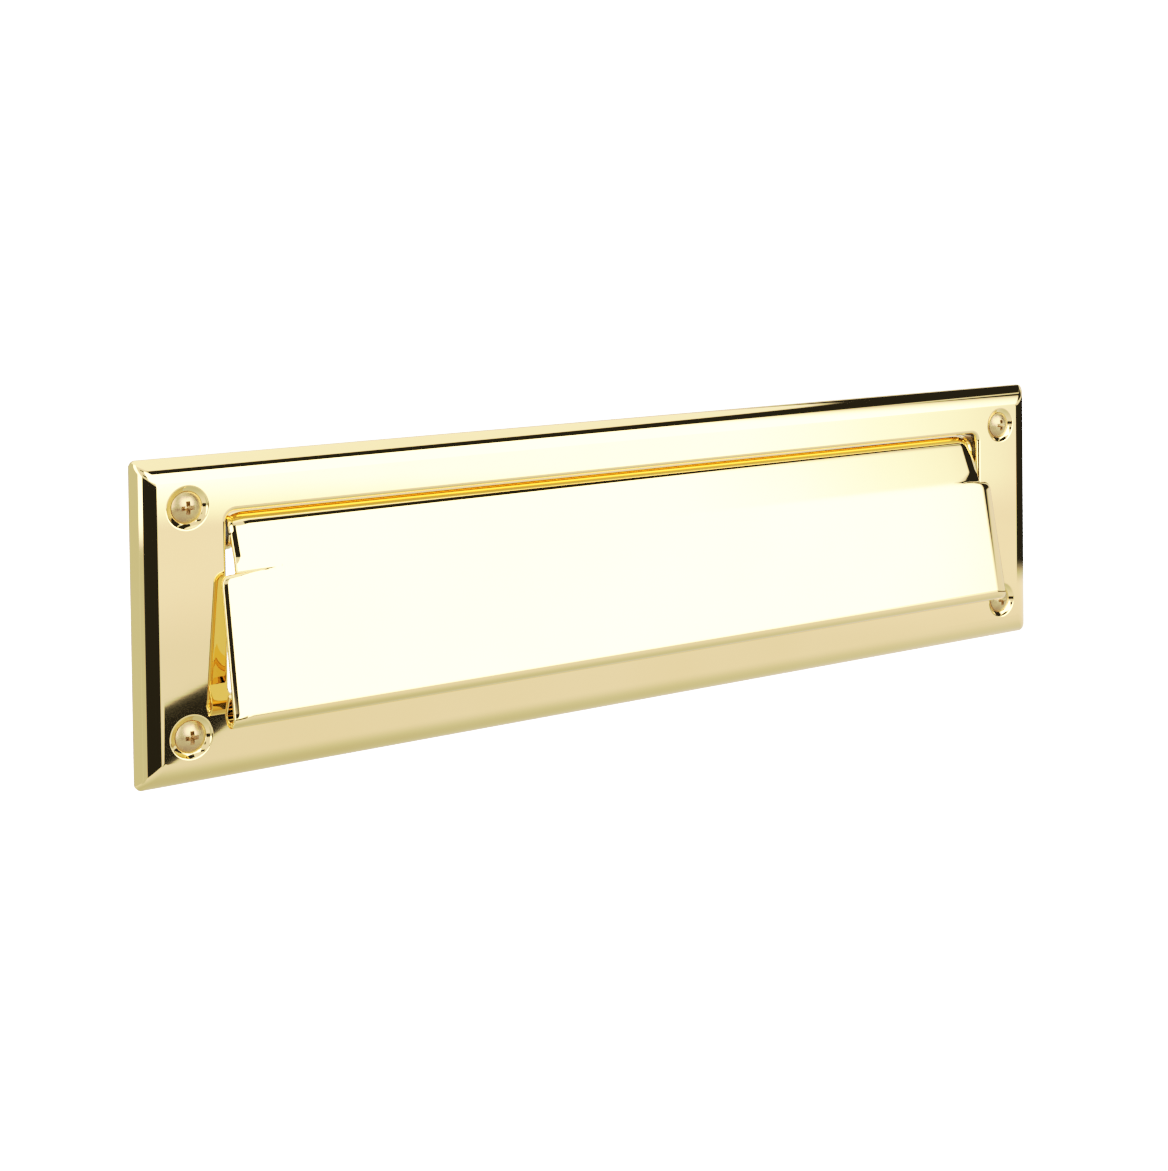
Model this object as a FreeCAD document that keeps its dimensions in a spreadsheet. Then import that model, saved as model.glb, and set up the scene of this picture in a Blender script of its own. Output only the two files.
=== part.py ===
import FreeCAD, Part

# Brass mail slot for a door or wall.
#
# A cast front plate with a cushion edge and a hollow back carries a sheet brass flap.  The flap hangs
# from a steel rod that two hinge blocks hold behind the top corners of the opening, two torsion
# springs on the rod close it against rubber bumpers, and four oval head screws fasten the plate.
#
# Millimetres.  The origin is the middle of the plate on its back plane, where it meets the wall.
# +X runs right as seen from the front, +Y into the wall and +Z up.

import math
import os

import Sketcher
from FreeCAD import Placement, Rotation, Vector

doc = FreeCAD.newDocument("mail_slot")

SIZES = {
    # front plate
    "plate_width": 330.2,
    "plate_height": 88.9,
    "plate_thick": 5.0,
    "edge_wall": 1.0,
    "cushion_width": 7.0,
    "corner_round": 2.0,
    "hollow_depth": 2.4,
    "back_rim": 3.2,
    "lip_wall": 2.2,
    # opening
    "slot_width": 279.0,
    "slot_top": 28.9,
    "slot_bottom": -21.8,
    "slot_corner": 2.8,
    "slot_edge_round": 1.2,
    # wall screws and their seats
    "screw_half_x": 150.45,
    "screw_half_z": 31.05,
    "boss_radius": 6.2,
    "boss_height": 3.0,
    "seat_radius": 4.5,
    "seat_depth": 2.95,
    "dish_radius": 6.0,
    "dish_depth": 0.8,
    "screw_hole_radius": 2.3,
    "neck_radius": 1.9,
    "thread_radius": 2.1,
    "head_radius": 4.3,
    "head_dome": 1.5,
    "screw_reach": 20.0,
    "screw_tip": 5.0,
    "recess_length": 4.4,
    "recess_width": 0.9,
    "recess_depth": 1.7,
    # hinge line
    "axis_y": 1.6,
    "axis_z": 22.6,
    "rod_radius": 2.0,
    "rod_length": 297.0,
    "groove_radius": 1.6,
    # flap, a bent sheet
    "flap_sheet": 1.6,
    "roll_radius": 5.8,
    "roll_start": 150.0,
    "tongue_slope": 23.0,
    "tongue_length": 12.03,
    "bend_radius": 12.0,
    "apron_slope": 11.3,
    "apron_length": 36.1,
    "hem_radius": 3.4,
    "hem_turn": 215.0,
    "hem_return": 4.4,
    "flap_width": 285.2,
    "tongue_width": 276.4,
    "shoulder_z": 12.4,
    "ear_radius": 5.2,
    # hinge blocks
    "block_inner_x": 139.7,
    "block_outer_x": 146.0,
    "block_low_z": 5.0,
    "block_high_z": 27.4,
    "block_back_y": 5.4,
    "block_screw_x": 143.0,
    "block_screw_low_z": 8.6,
    "block_screw_high_z": 15.2,
    "block_screw_radius": 1.25,
    "block_head_radius": 2.3,
    "block_head_thick": 1.6,
    "block_screw_reach": 3.7,
    "screw_slot_width": 0.7,
    "screw_slot_depth": 0.8,
    "tapping_depth": 1.5,
    "step_depth": 3.0,
    "step_above_screw": 3.0,
    "pocket_into_slot": 1.0,
    "pocket_side_gap": 3.5,
    "pocket_end_gap": 0.6,
    # bushes, springs and clips on the rod
    "bush_radius": 3.0,
    "bush_flange_radius": 3.9,
    "bush_flange_thick": 1.2,
    "bush_bore_radius": 2.06,
    "spring_wire": 0.9,
    "spring_mean_radius": 2.75,
    "spring_turns": 5.0,
    "spring_lean": 17.0,
    "spring_pitch": 1.2,
    "spring_outer_x": 134.6,
    "spring_leg_over": 1.2,
    "elbow_radius": 0.486,
    "clip_radius": 3.2,
    "clip_thick": 0.7,
    "clip_gap": 0.2,
    "clip_mouth": 2.72,
    # bumpers
    "bumper_x": 137.0,
    "bumper_z": -26.4,
    "bumper_radius": 2.4,
    "bumper_height": 4.42,
    # clearances, and cutting tools that run past what they cut
    "play": 0.05,
    "hole_gap": 0.1,
    "thread_gap": 0.02,
    "overrun": 0.1,
    "tool_length": 20.0,
}


def make_sheet():
    """Put every driving dimension in a spreadsheet under its own alias."""
    table = doc.addObject("Spreadsheet::Sheet", "Sizes")
    for row, (alias, number) in enumerate(SIZES.items(), start=1):
        table.set(f"A{row}", alias)
        table.set(f"B{row}", str(number))
        table.setAlias(f"B{row}", alias)
    doc.recompute()
    return table


sheet = make_sheet()


def size(alias):
    """A dimension, read back from the sheet."""
    return float(sheet.get(alias))


def formula(text):
    """An expression in which @name stands for the sheet's cell of that name."""
    return text.replace("@", "Sizes.")


def bind(item, **formulas):
    """Bind properties to the sheet; X, Y and Z are the coordinates of the placement."""
    for name, text in formulas.items():
        path = f".Placement.Base.{name.lower()}" if name in ("X", "Y", "Z") else name
        item.setExpression(path, formula(text))


def primitive(kind, name, turn=None, **formulas):
    """A Part primitive with bound sizes and place, turned by an optional rotation."""
    item = doc.addObject(f"Part::{kind}", name)
    if turn is not None:
        item.Placement = Placement(Vector(), turn)
    bind(item, **formulas)
    return item


def fused(name, *items):
    joined = doc.addObject("Part::MultiFuse", name)
    joined.Shapes = list(items)
    return joined


def cut(name, base, *tools):
    """The base less every tool."""
    result = doc.addObject("Part::Cut", name)
    result.Base = base
    result.Tool = tools[0] if len(tools) == 1 else fused(f"{name}_tools", *tools)
    return result


ALONG_X = Rotation(Vector(0, 1, 0), 90)
ALONG_Y = Rotation(Vector(1, 0, 0), -90)
TOWARD_FRONT = Rotation(Vector(1, 0, 0), 90)
SIDES = {"left": -1, "right": 1}
HEIGHTS = {"bottom": -1, "top": 1}


def new_body(name):
    return doc.addObject("PartDesign::Body", name)


def origin_plane(body, role):
    return next(item for item in body.Origin.OriginFeatures if item.Role == role)


def new_sketch(body, name, role):
    """A sketch on one of its own body's origin planes."""
    sketch = body.newObject("Sketcher::SketchObject", name)
    sketch.AttachmentSupport = (origin_plane(body, role), "")
    sketch.MapMode = "FlatFace"
    return sketch


def add_rectangle(sketch, tag, half_width, bottom, top):
    """A rectangle centred on the sketch's vertical axis, between two bound heights."""
    low, high = -10.0, 10.0
    corners = [Vector(-20, low), Vector(20, low), Vector(20, high), Vector(-20, high)]
    first = sketch.GeometryCount
    for start, end in zip(corners, corners[1:] + corners[:1]):
        sketch.addGeometry(Part.LineSegment(start, end), False)
    for step in range(4):
        follower = first + (step + 1) % 4
        sketch.addConstraint(Sketcher.Constraint("Coincident", first + step, 2, follower, 1))
    # the symmetric pair already keeps the bottom line level
    sketch.addConstraint(Sketcher.Constraint("Symmetric", first, 1, first, 2, -2))
    for line, direction in ((1, "Vertical"), (2, "Horizontal"), (3, "Vertical")):
        sketch.addConstraint(Sketcher.Constraint(direction, first + line))
    bound = {
        "width": (Sketcher.Constraint("DistanceX", first, 1, first, 2, 40.0), f"2 * ({half_width})"),
        "bottom": (Sketcher.Constraint("DistanceY", -1, 1, first, 1, low), bottom),
        "top": (Sketcher.Constraint("DistanceY", -1, 1, first + 2, 1, high), top),
    }
    for name, (constraint, text) in bound.items():
        index = sketch.addConstraint(constraint)
        sketch.renameConstraint(index, f"{tag}_{name}")
        sketch.setExpression(f"Constraints.{tag}_{name}", formula(text))


def edges_where(feature, test):
    """Names of the feature's edges that pass a test."""
    names = []
    for number, edge in enumerate(feature.Shape.Edges, start=1):
        if test(edge):
            names.append(f"Edge{number}")
    return names


def dress(body, kind, name, base, edges, **formulas):
    """A fillet or chamfer over some edges of an earlier feature of the body."""
    feature = body.newObject(f"PartDesign::{kind}", name)
    feature.Base = (base, edges)
    bind(feature, **formulas)
    doc.recompute()
    return feature


def at_depth(edge, depth):
    """Whether the whole edge lies on the plane a depth in front of the back plane."""
    return all(abs(vertex.Y + depth) < 1e-6 for vertex in edge.Vertexes)


def along_y(edge):
    ends = [vertex.Point for vertex in edge.Vertexes]
    return len(ends) == 2 and math.hypot(ends[0].x - ends[1].x, ends[0].z - ends[1].z) < 1e-6


# ---------------------------------------------------------------------------- front plate


def cushion_points(half_length):
    """Where the cushion's arc starts at the edge, passes halfway and meets the face.

    Each is (distance from the plate's middle, Y); the arc is tangent to the face.
    """
    width, rise = size("cushion_width"), size("plate_thick") - size("edge_wall")
    radius = (width**2 + rise**2) / (2 * rise)
    halfway = radius - math.sqrt(radius**2 - (width / 2) ** 2)
    face = -size("plate_thick")
    return (
        (half_length, -size("edge_wall")),
        (half_length - width / 2, face + halfway),
        (half_length - width, face),
    )


def add_outline(sketch, corners, arcs):
    """A closed outline of lines; arcs maps the index of a side to its middle point."""
    for index, (start, end) in enumerate(zip(corners, corners[1:] + corners[:1])):
        if index in arcs:
            sketch.addGeometry(Part.Arc(Vector(*start), Vector(*arcs[index]), Vector(*end)), False)
        else:
            sketch.addGeometry(Part.LineSegment(Vector(*start), Vector(*end)), False)
        sketch.addConstraint(Sketcher.Constraint("Block", sketch.GeometryCount - 1))


def plate_blank():
    """The casting before drilling: cushion edge, opening with a soft rim, and hollow back."""
    thick = size("plate_thick")
    body = new_body("plate_blank")
    section = new_sketch(body, "plate_section", "YZ_Plane")
    edge, middle, face = cushion_points(size("plate_height") / 2)
    half = [(0, edge[0]), (edge[1], edge[0]), (face[1], face[0])]
    corners = half + [(y, -z) for y, z in reversed(half)]
    add_outline(
        section, corners, {1: (middle[1], middle[0]), 3: (middle[1], -middle[0])}
    )
    slab = body.newObject("PartDesign::Pad", "plate_slab")
    slab.Profile = section
    slab.Midplane = True
    bind(slab, Length="@plate_width")
    doc.recompute()

    ends = new_sketch(body, "end_waste", "XY_Plane")
    edge, middle, face = cushion_points(size("plate_width") / 2)
    beyond = size("tool_length")
    for out in SIDES.values():
        corners = [edge, face, (face[0], -beyond), (edge[0] + beyond, -beyond)]
        corners.append((edge[0] + beyond, edge[1]))
        add_outline(ends, [(out * x, y) for x, y in corners], {0: (out * middle[0], middle[1])})
    cushion = body.newObject("PartDesign::Pocket", "end_cushions")
    cushion.Profile = ends
    cushion.Midplane = True
    bind(cushion, Length="2 * @plate_height")
    doc.recompute()
    if not 1.0 < slab.Shape.Volume - cushion.Shape.Volume < slab.Shape.Volume / 20:
        raise RuntimeError("the end cushions cut the wrong amount")
    walls = edges_where(cushion, along_y)
    rounded = dress(body, "Fillet", "plate_corners", cushion, walls, Radius="@corner_round")

    slot = new_sketch(body, "slot_outline", "XZ_Plane")
    add_rectangle(slot, "slot", "@slot_width / 2", "@slot_bottom", "@slot_top")
    opening = pocket(body, "slot_opening", slot, "@plate_thick", rounded)
    reach = size("slot_width") / 2 + size("overrun")
    low = size("slot_bottom") - size("overrun")
    high = size("slot_top") + size("overrun")
    inside = edges_where(opening, lambda edge: along_y(edge) and abs(edge.Vertexes[0].X) < reach)
    soft = dress(body, "Fillet", "slot_corners", opening, inside, Radius="@slot_corner")
    rim = edges_where(
        soft, lambda edge: at_depth(edge, thick) and abs(edge.CenterOfMass.x) <= reach
        and low <= edge.CenterOfMass.z <= high
    )
    soft = dress(body, "Fillet", "slot_rim", soft, rim, Radius="@slot_edge_round")

    hollow = new_sketch(body, "hollow_outline", "XZ_Plane")
    add_rectangle(
        hollow, "outer", "@plate_width / 2 - @back_rim", "@back_rim - @plate_height / 2",
        "@plate_height / 2 - @back_rim",
    )
    add_rectangle(
        hollow, "inner", "@slot_width / 2 + @lip_wall", "@slot_bottom - @lip_wall",
        "@slot_top + @lip_wall",
    )
    pocket(body, "back_hollow", hollow, "@hollow_depth", soft)
    return body


def pocket(body, name, sketch, depth, before):
    """A pocket from the back plane toward the front, proved by the volume it takes away."""
    feature = body.newObject("PartDesign::Pocket", name)
    feature.Profile = sketch
    feature.Reversed = True
    bind(feature, Length=depth)
    doc.recompute()
    if feature.Shape.Volume > before.Shape.Volume - 1.0:
        raise RuntimeError(f"{name} cut nothing")
    return feature


def corner_places():
    """The four wall screws: name ending, and signs of their X and Z."""
    for height, up in HEIGHTS.items():
        for side, out in SIDES.items():
            yield f"{height}_{side}", out, up


def make_front_plate():
    blank = plate_blank()
    bosses = []
    tools = []
    for tag, out, up in corner_places():
        place = {"X": f"{out} * @screw_half_x", "Z": f"{up} * @screw_half_z"}
        bosses.append(
            primitive(
                "Cylinder", f"boss_{tag}", TOWARD_FRONT, Radius="@boss_radius",
                Height="@boss_height", **place,
            )
        )
        tools.append(
            primitive(
                "Cylinder", f"hole_{tag}", TOWARD_FRONT, Radius="@screw_hole_radius",
                Height="@tool_length", Y="@tool_length / 2", **place,
            )
        )
        tools.append(
            primitive(
                "Cone", f"seat_{tag}", TOWARD_FRONT, Radius1="@screw_hole_radius",
                Radius2="@seat_radius", Height="@seat_depth - @dish_depth",
                Y="@seat_depth - @plate_thick", **place,
            )
        )
        tools.append(
            primitive(
                "Cone", f"dish_{tag}", TOWARD_FRONT, Radius1="@seat_radius", Radius2="@dish_radius",
                Height="@dish_depth", Y="@dish_depth - @plate_thick", **place,
            )
        )
    for side, out in SIDES.items():
        tools.append(hinge_pocket(side, out))
        for level in ("low", "high"):
            tools.append(
                primitive(
                    "Cylinder", f"tapping_{side}_{level}", TOWARD_FRONT,
                    Radius="@block_screw_radius", Height="@tapping_depth + @overrun",
                    Y="@overrun - @hollow_depth",
                    X=f"{out} * @block_screw_x", Z=f"@block_screw_{level}_z",
                )
            )
    solid = fused("plate_with_bosses", blank, *bosses)
    return cut("front_plate", solid, *tools)


def hinge_pocket(side, out):
    """Room behind the face for a hinge block, open to the mail opening."""
    inner = "@slot_width / 2 - @pocket_into_slot"
    outer = "@block_outer_x + @pocket_side_gap"
    low_x = inner if out > 0 else f"-({outer})"
    return primitive(
        "Box", f"hinge_pocket_{side}", X=low_x, Y="-@hollow_depth",
        Z="@block_low_z - @pocket_end_gap", Length=f"{outer} - ({inner})", Width="@tool_length",
        Height="@block_high_z - @block_low_z + 2 * @pocket_end_gap",
    )


# ---------------------------------------------------------------------------------- flap


def flap_path(sketch):
    """The sheet's middle line: roll over the rod, tongue, soft bend, apron and rolled hem.

    Sketch coordinates are Y and Z.  Angles are measured at the arc centres from +Y toward +Z.
    """
    half = size("flap_sheet") / 2
    axis = Vector(size("axis_y"), size("axis_z"))
    tongue = math.radians(size("tongue_slope"))
    apron = math.radians(size("apron_slope"))
    roll = size("roll_radius") - half
    bend = size("bend_radius")
    hem = size("hem_radius") - half

    def outward(slope):
        """Unit normal of a stretch that leans out by a slope, pointing at the viewer."""
        return Vector(-math.cos(slope), math.sin(slope))

    def downward(slope):
        return Vector(-math.sin(slope), -math.cos(slope))

    def arc(centre, radius, first, last):
        return Part.ArcOfCircle(Part.Circle(centre, Vector(0, 0, 1), radius), first, last)

    turn = math.radians(size("hem_turn"))
    roll_end = axis + outward(tongue) * roll
    bend_start = roll_end + downward(tongue) * size("tongue_length")
    bend_centre = bend_start - outward(tongue) * bend
    bend_end = bend_centre + outward(apron) * bend
    hem_start = bend_end + downward(apron) * size("apron_length")
    hem_centre = hem_start - outward(apron) * hem
    hem_angle = math.pi - apron
    hem_end_angle = hem_angle + turn
    hem_end = hem_centre + Vector(math.cos(hem_end_angle), math.sin(hem_end_angle)) * hem
    along = Vector(-math.sin(hem_end_angle), math.cos(hem_end_angle))
    back = math.radians(180.0 - size("roll_start"))

    sketch.addGeometry(arc(axis, roll, back, math.pi - tongue), False)
    sketch.addGeometry(Part.LineSegment(roll_end, bend_start), False)
    sketch.addGeometry(arc(bend_centre, bend, math.pi - tongue, math.pi - apron), False)
    sketch.addGeometry(Part.LineSegment(bend_end, hem_start), False)
    sketch.addGeometry(arc(hem_centre, hem, hem_angle, hem_end_angle), False)
    sketch.addGeometry(Part.LineSegment(hem_end, hem_end + along * size("hem_return")), False)
    for geometry in range(sketch.GeometryCount):
        sketch.addConstraint(Sketcher.Constraint("Block", geometry))


def make_flap():
    """Bent sheet flap: full width apron and hem, narrower tongue, and an ear at each end."""
    body = new_body("flap_blank")
    path = new_sketch(body, "flap_path", "YZ_Plane")
    flap_path(path)
    doc.recompute()
    section = body.newObject("Sketcher::SketchObject", "flap_section")
    section.AttachmentSupport = [(path, "Edge1")]
    section.MapMode = "NormalToEdge"
    section.MapPathParameter = 0.0
    doc.recompute()
    # the section's own X may run across the sheet or along the hinge line
    across = section.Placement.Rotation.multVec(Vector(1, 0, 0))
    lies_along_hinge = abs(across.x) > 0.5
    sheet_half, width_half = "@flap_sheet / 2", "@flap_width / 2"
    wide, tall = (width_half, sheet_half) if lies_along_hinge else (sheet_half, width_half)
    add_rectangle(section, "sheet", wide, f"-({tall})", tall)
    pipe = body.newObject("PartDesign::AdditivePipe", "flap_bent_sheet")
    pipe.Profile = section
    pipe.Spine = (path, [f"Edge{number}" for number in range(1, path.GeometryCount + 1)])
    doc.recompute()
    doc.recompute()

    pieces = [body]
    for side, out in SIDES.items():
        start = "@tongue_width / 2 - @flap_sheet" if out > 0 else "-@tongue_width / 2"
        pieces.append(
            primitive(
                "Cylinder", f"ear_{side}", ALONG_X, Radius="@ear_radius", Height="@flap_sheet",
                X=start, Y="@axis_y", Z="@axis_z",
            )
        )
    notches = []
    for side, out in SIDES.items():
        start = "@tongue_width / 2" if out > 0 else "-@flap_width / 2 - @tool_length"
        notches.append(
            primitive(
                "Box", f"shoulder_{side}", X=start, Y="-@tool_length", Z="@shoulder_z",
                Length="(@flap_width - @tongue_width) / 2 + @tool_length",
                Width="2 * @tool_length", Height="@tool_length",
            )
        )
    bore = primitive(
        "Cylinder", "ear_bores", ALONG_X, Radius="@bush_radius", Height="@flap_width",
        X="-@flap_width / 2", Y="@axis_y", Z="@axis_z",
    )
    return cut("flap", fused("flap_with_ears", *pieces), bore, *notches)


# ----------------------------------------------------------------------------- hinge line


SPRING_INNER_X = "@spring_outer_x - @spring_turns * @spring_pitch"


def make_hinge_rod():
    """Plain rod with a clip groove near each end and a cross hole for each spring."""
    rod = primitive(
        "Cylinder", "rod_blank", ALONG_X, Radius="@rod_radius", Height="@rod_length",
        X="-@rod_length / 2", Y="@axis_y", Z="@axis_z",
    )
    tools = []
    for side, out in SIDES.items():
        near = "@block_outer_x + @clip_gap - @play"
        wide = "@clip_thick + 2 * @play"
        start = near if out > 0 else f"-({near}) - ({wide})"
        place = {"X": start, "Y": "@axis_y", "Z": "@axis_z"}
        ring = primitive(
            "Cylinder", f"groove_outer_{side}", ALONG_X, Radius="@clip_radius", Height=wide, **place
        )
        core = primitive(
            "Cylinder", f"groove_core_{side}", ALONG_X, Radius="@groove_radius", Height=wide, **place
        )
        tools.append(cut(f"groove_{side}", ring, core))
        tools.append(
            primitive(
                "Cylinder", f"cross_hole_{side}", ALONG_Y, Radius="@spring_wire / 2 + @play",
                Height="@tool_length", X=f"{out} * ({SPRING_INNER_X})",
                Y="@axis_y - @tool_length / 2", Z="@axis_z",
            )
        )
    return cut("hinge_rod", rod, *tools)


def make_hinge_block(side, out):
    """Block that holds the rod's end, with two holes for its screws."""
    start = "@block_inner_x" if out > 0 else "-@block_outer_x"
    body = primitive(
        "Box", f"block_blank_{side}", X=start, Y="-@hollow_depth", Z="@block_low_z",
        Length="@block_outer_x - @block_inner_x", Width="@block_back_y + @hollow_depth",
        Height="@block_high_z - @block_low_z",
    )
    step = primitive(
        "Box", f"block_step_{side}", X=start, Y="@block_back_y - @step_depth",
        Z="@block_low_z - @overrun", Length="@block_outer_x - @block_inner_x",
        Width="@tool_length",
        Height="@block_screw_high_z + @step_above_screw - @block_low_z + @overrun",
    )
    bore = primitive(
        "Cylinder", f"block_bore_{side}", ALONG_X, Radius="@rod_radius",
        Height="@block_outer_x - @block_inner_x", X=start, Y="@axis_y", Z="@axis_z",
    )
    holes = [
        primitive(
            "Cylinder", f"block_hole_{side}_{level}", ALONG_Y,
            Radius="@block_screw_radius + @hole_gap", Height="@tool_length",
            X=f"{out} * @block_screw_x", Y="-@tool_length / 2", Z=f"@block_screw_{level}_z",
        )
        for level in ("low", "high")
    ]
    shaped = cut(f"block_shaped_{side}", body, step, bore, *holes)
    shaped.Label = f"hinge_block_{side}"
    return shaped


def make_block_screw(side, out, level):
    """Slotted cheese head screw through a hinge block into the plate."""
    place = {"X": f"{out} * @block_screw_x", "Z": f"@block_screw_{level}_z"}
    name = f"block_screw_{side}_{level}"
    shank = primitive(
        "Cylinder", f"{name}_shank", ALONG_Y, Radius="@block_screw_radius - @thread_gap",
        Height="@block_back_y - @step_depth + @block_screw_reach", Y="-@block_screw_reach", **place,
    )
    head = primitive(
        "Cylinder", f"{name}_head", ALONG_Y, Radius="@block_head_radius",
        Height="@block_head_thick", Y="@block_back_y - @step_depth", **place,
    )
    slot = primitive(
        "Box", f"{name}_slot", X=f"{out} * @block_screw_x - @tool_length / 2",
        Y="@block_back_y - @step_depth + @block_head_thick - @screw_slot_depth",
        Z=f"@block_screw_{level}_z - @screw_slot_width / 2",
        Length="@tool_length", Width="@tool_length", Height="@screw_slot_width",
    )
    return cut(name, fused(f"{name}_blank", shank, head), slot)


def make_hinge_bush(side, out):
    """Flanged bush: its sleeve sits in the flap's ear and its flange spaces the ear off the block."""
    name = f"hinge_bush_{side}"
    place = {"Y": "@axis_y", "Z": "@axis_z"}
    sleeve_x = "@tongue_width / 2 - @flap_sheet" if out > 0 else "-@tongue_width / 2"
    flange_x = "@tongue_width / 2" if out > 0 else "-@tongue_width / 2 - @bush_flange_thick"
    sleeve = primitive(
        "Cylinder", f"{name}_sleeve", ALONG_X, Radius="@bush_radius", Height="@flap_sheet",
        X=sleeve_x, **place,
    )
    flange = primitive(
        "Cylinder", f"{name}_flange", ALONG_X, Radius="@bush_flange_radius",
        Height="@bush_flange_thick", X=flange_x, **place,
    )
    bore = primitive(
        "Cylinder", f"{name}_bore", ALONG_X, Radius="@bush_bore_radius", Height="@tool_length",
        X=f"{out} * @tongue_width / 2 - @tool_length / 2", **place,
    )
    return cut(name, fused(f"{name}_blank", sleeve, flange), bore)


def make_return_spring(side, out):
    """Torsion spring: a tang in the rod's cross hole, the coil, and a leg behind the flap's roll.

    It is drawn about its own Z axis with the tang along X, then turned so that Z runs outward along
    the rod and X points back.  The left spring is the mirror image of the right one.
    """
    wire = size("spring_wire") / 2
    radius = size("spring_mean_radius")
    pitch = size("spring_pitch")
    lean = math.radians(size("spring_lean"))
    length = pitch * (size("spring_turns") + size("spring_lean") / 360)
    start = Vector(radius, 0, 0)
    rise = Vector(0, 2 * math.pi * radius, pitch).normalize()
    ring = Part.Wire(Part.makeCircle(wire, start, rise))
    helix = Part.Wire(Part.makeHelix(pitch, length, radius).Edges)
    coil = helix.makePipeShell([ring], True, True)
    tang = Part.makeCylinder(wire, radius, Vector(), Vector(1, 0, 0))
    outward = Vector(math.cos(lean), math.sin(lean), 0)
    finish = outward * radius + Vector(0, 0, length)
    leg_length = size("roll_radius") + size("spring_leg_over") - radius
    leg = Part.makeCylinder(wire, leg_length, finish, outward)
    elbows = [Part.makeSphere(size("elbow_radius"), place) for place in (start, finish)]
    spring = coil.fuse([tang, leg] + elbows).removeSplitter()
    turned = spring.transformGeometry(FreeCAD.Matrix(0, 0, out, 0, 1, 0, 0, 0, 0, 1, 0, 0))
    feature = doc.addObject("Part::Feature", f"return_spring_{side}")
    feature.Shape = turned
    inner = size("spring_outer_x") - size("spring_turns") * pitch
    feature.Placement = Placement(Vector(out * inner, size("axis_y"), size("axis_z")), Rotation())
    return feature


def make_retaining_clip(side, out):
    """E clip in the rod's groove, open toward the back."""
    name = f"retaining_clip_{side}"
    near = "@block_outer_x + @clip_gap"
    start = near if out > 0 else f"-({near}) - @clip_thick"
    place = {"X": start, "Y": "@axis_y", "Z": "@axis_z"}
    disc = primitive(
        "Cylinder", f"{name}_disc", ALONG_X, Radius="@clip_radius", Height="@clip_thick", **place
    )
    seat = primitive(
        "Cylinder", f"{name}_seat", ALONG_X, Radius="@groove_radius", Height="@clip_thick", **place
    )
    mouth = primitive(
        "Box", f"{name}_mouth", X=start, Y="@axis_y", Z="@axis_z - @clip_mouth / 2",
        Length="@clip_thick", Width="@tool_length", Height="@clip_mouth",
    )
    return cut(name, disc, seat, mouth)


# ---------------------------------------------------------------------- fasteners and stops


def make_mounting_screw(tag, out, up):
    """Oval head wood screw with a cross recess, drawn into its seat."""
    name = f"mounting_screw_{tag}"
    body = new_body(f"{name}_blank")
    profile = new_sketch(body, f"{name}_profile", "XY_Plane")
    head, neck, thread = size("head_radius"), size("neck_radius"), size("thread_radius")
    dome, reach = size("head_dome"), size("screw_reach")
    rim = size("dish_depth") - size("plate_thick") + size("play")
    under_head = size("seat_depth") - size("plate_thick")
    crown = rim - dome
    bow = (head**2 + dome**2) / (2 * dome)
    halfway = Vector(head / 2, crown + bow - math.sqrt(bow**2 - (head / 2) ** 2))
    profile.addGeometry(Part.Arc(Vector(0, crown), halfway, Vector(head, rim)), False)
    points = [
        Vector(head, rim), Vector(neck, under_head), Vector(neck, 0), Vector(thread, 0),
        Vector(thread, reach - size("screw_tip")), Vector(0, reach), Vector(0, crown),
    ]
    for start, end in zip(points, points[1:]):
        profile.addGeometry(Part.LineSegment(start, end), False)
    for geometry in range(profile.GeometryCount):
        profile.addConstraint(Sketcher.Constraint("Block", geometry))
    turned = body.newObject("PartDesign::Revolution", f"{name}_turned")
    turned.Profile = profile
    turned.ReferenceAxis = (profile, ["V_Axis"])
    turned.Angle = 360
    doc.recompute()
    bind(body, X=f"{out} * @screw_half_x", Z=f"{up} * @screw_half_z")
    arms = []
    recess = ("@recess_length", "@recess_width")
    for label, (wide, high) in (("across", recess), ("upright", recess[::-1])):
        arms.append(
            primitive(
                "Box", f"{name}_{label}", X=f"{out} * @screw_half_x - {wide} / 2",
                Y=f"{crown} - @overrun", Z=f"{up} * @screw_half_z - {high} / 2",
                Length=wide, Width="@recess_depth + @overrun", Height=high,
            )
        )
    return cut(name, body, *arms)


def make_bumper(side, out):
    """Rubber button on the plate's face that the flap's hem closes against."""
    name = f"flap_bumper_{side}"
    button = primitive(
        "Cylinder", f"{name}_button", TOWARD_FRONT, Radius="@bumper_radius",
        Height="@bumper_height", X=f"{out} * @bumper_x", Y="-@plate_thick", Z="@bumper_z",
    )
    button.Label = name
    return button


def make_all():
    made = [make_front_plate(), make_flap(), make_hinge_rod()]
    for side, out in SIDES.items():
        made.append(make_hinge_block(side, out))
        made.append(make_hinge_bush(side, out))
        made.append(make_return_spring(side, out))
        made.append(make_retaining_clip(side, out))
        made.append(make_bumper(side, out))
        for level in ("low", "high"):
            made.append(make_block_screw(side, out, level))
    for tag, out, up in corner_places():
        made.append(make_mounting_screw(tag, out, up))
    return made


def check(pieces):
    """Stop if any object failed or any piece is not one valid closed shape."""
    doc.recompute()
    for item in doc.Objects:
        if "Invalid" in item.State or "Error" in item.State:
            raise RuntimeError(f"{item.Name} failed: {item.State}")
    for piece in pieces:
        shape = piece.Shape
        if shape.isNull() or not shape.isValid() or len(shape.Solids) != 1:
            raise RuntimeError(f"{piece.Label}: {len(shape.Solids)} solids, valid {shape.isValid()}")
        box = shape.BoundBox
        low = [round(value, 2) for value in (box.XMin, box.YMin, box.ZMin)]
        high = [round(value, 2) for value in (box.XMax, box.YMax, box.ZMax)]
        print(f"{piece.Label:28s} {shape.Volume:10.1f} mm3  {low} {high}")


def write(pieces):
    os.makedirs("parts", exist_ok=True)
    for piece in pieces:
        piece.Shape.exportStep(os.path.join("parts", f"{piece.Label}.step"))


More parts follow.
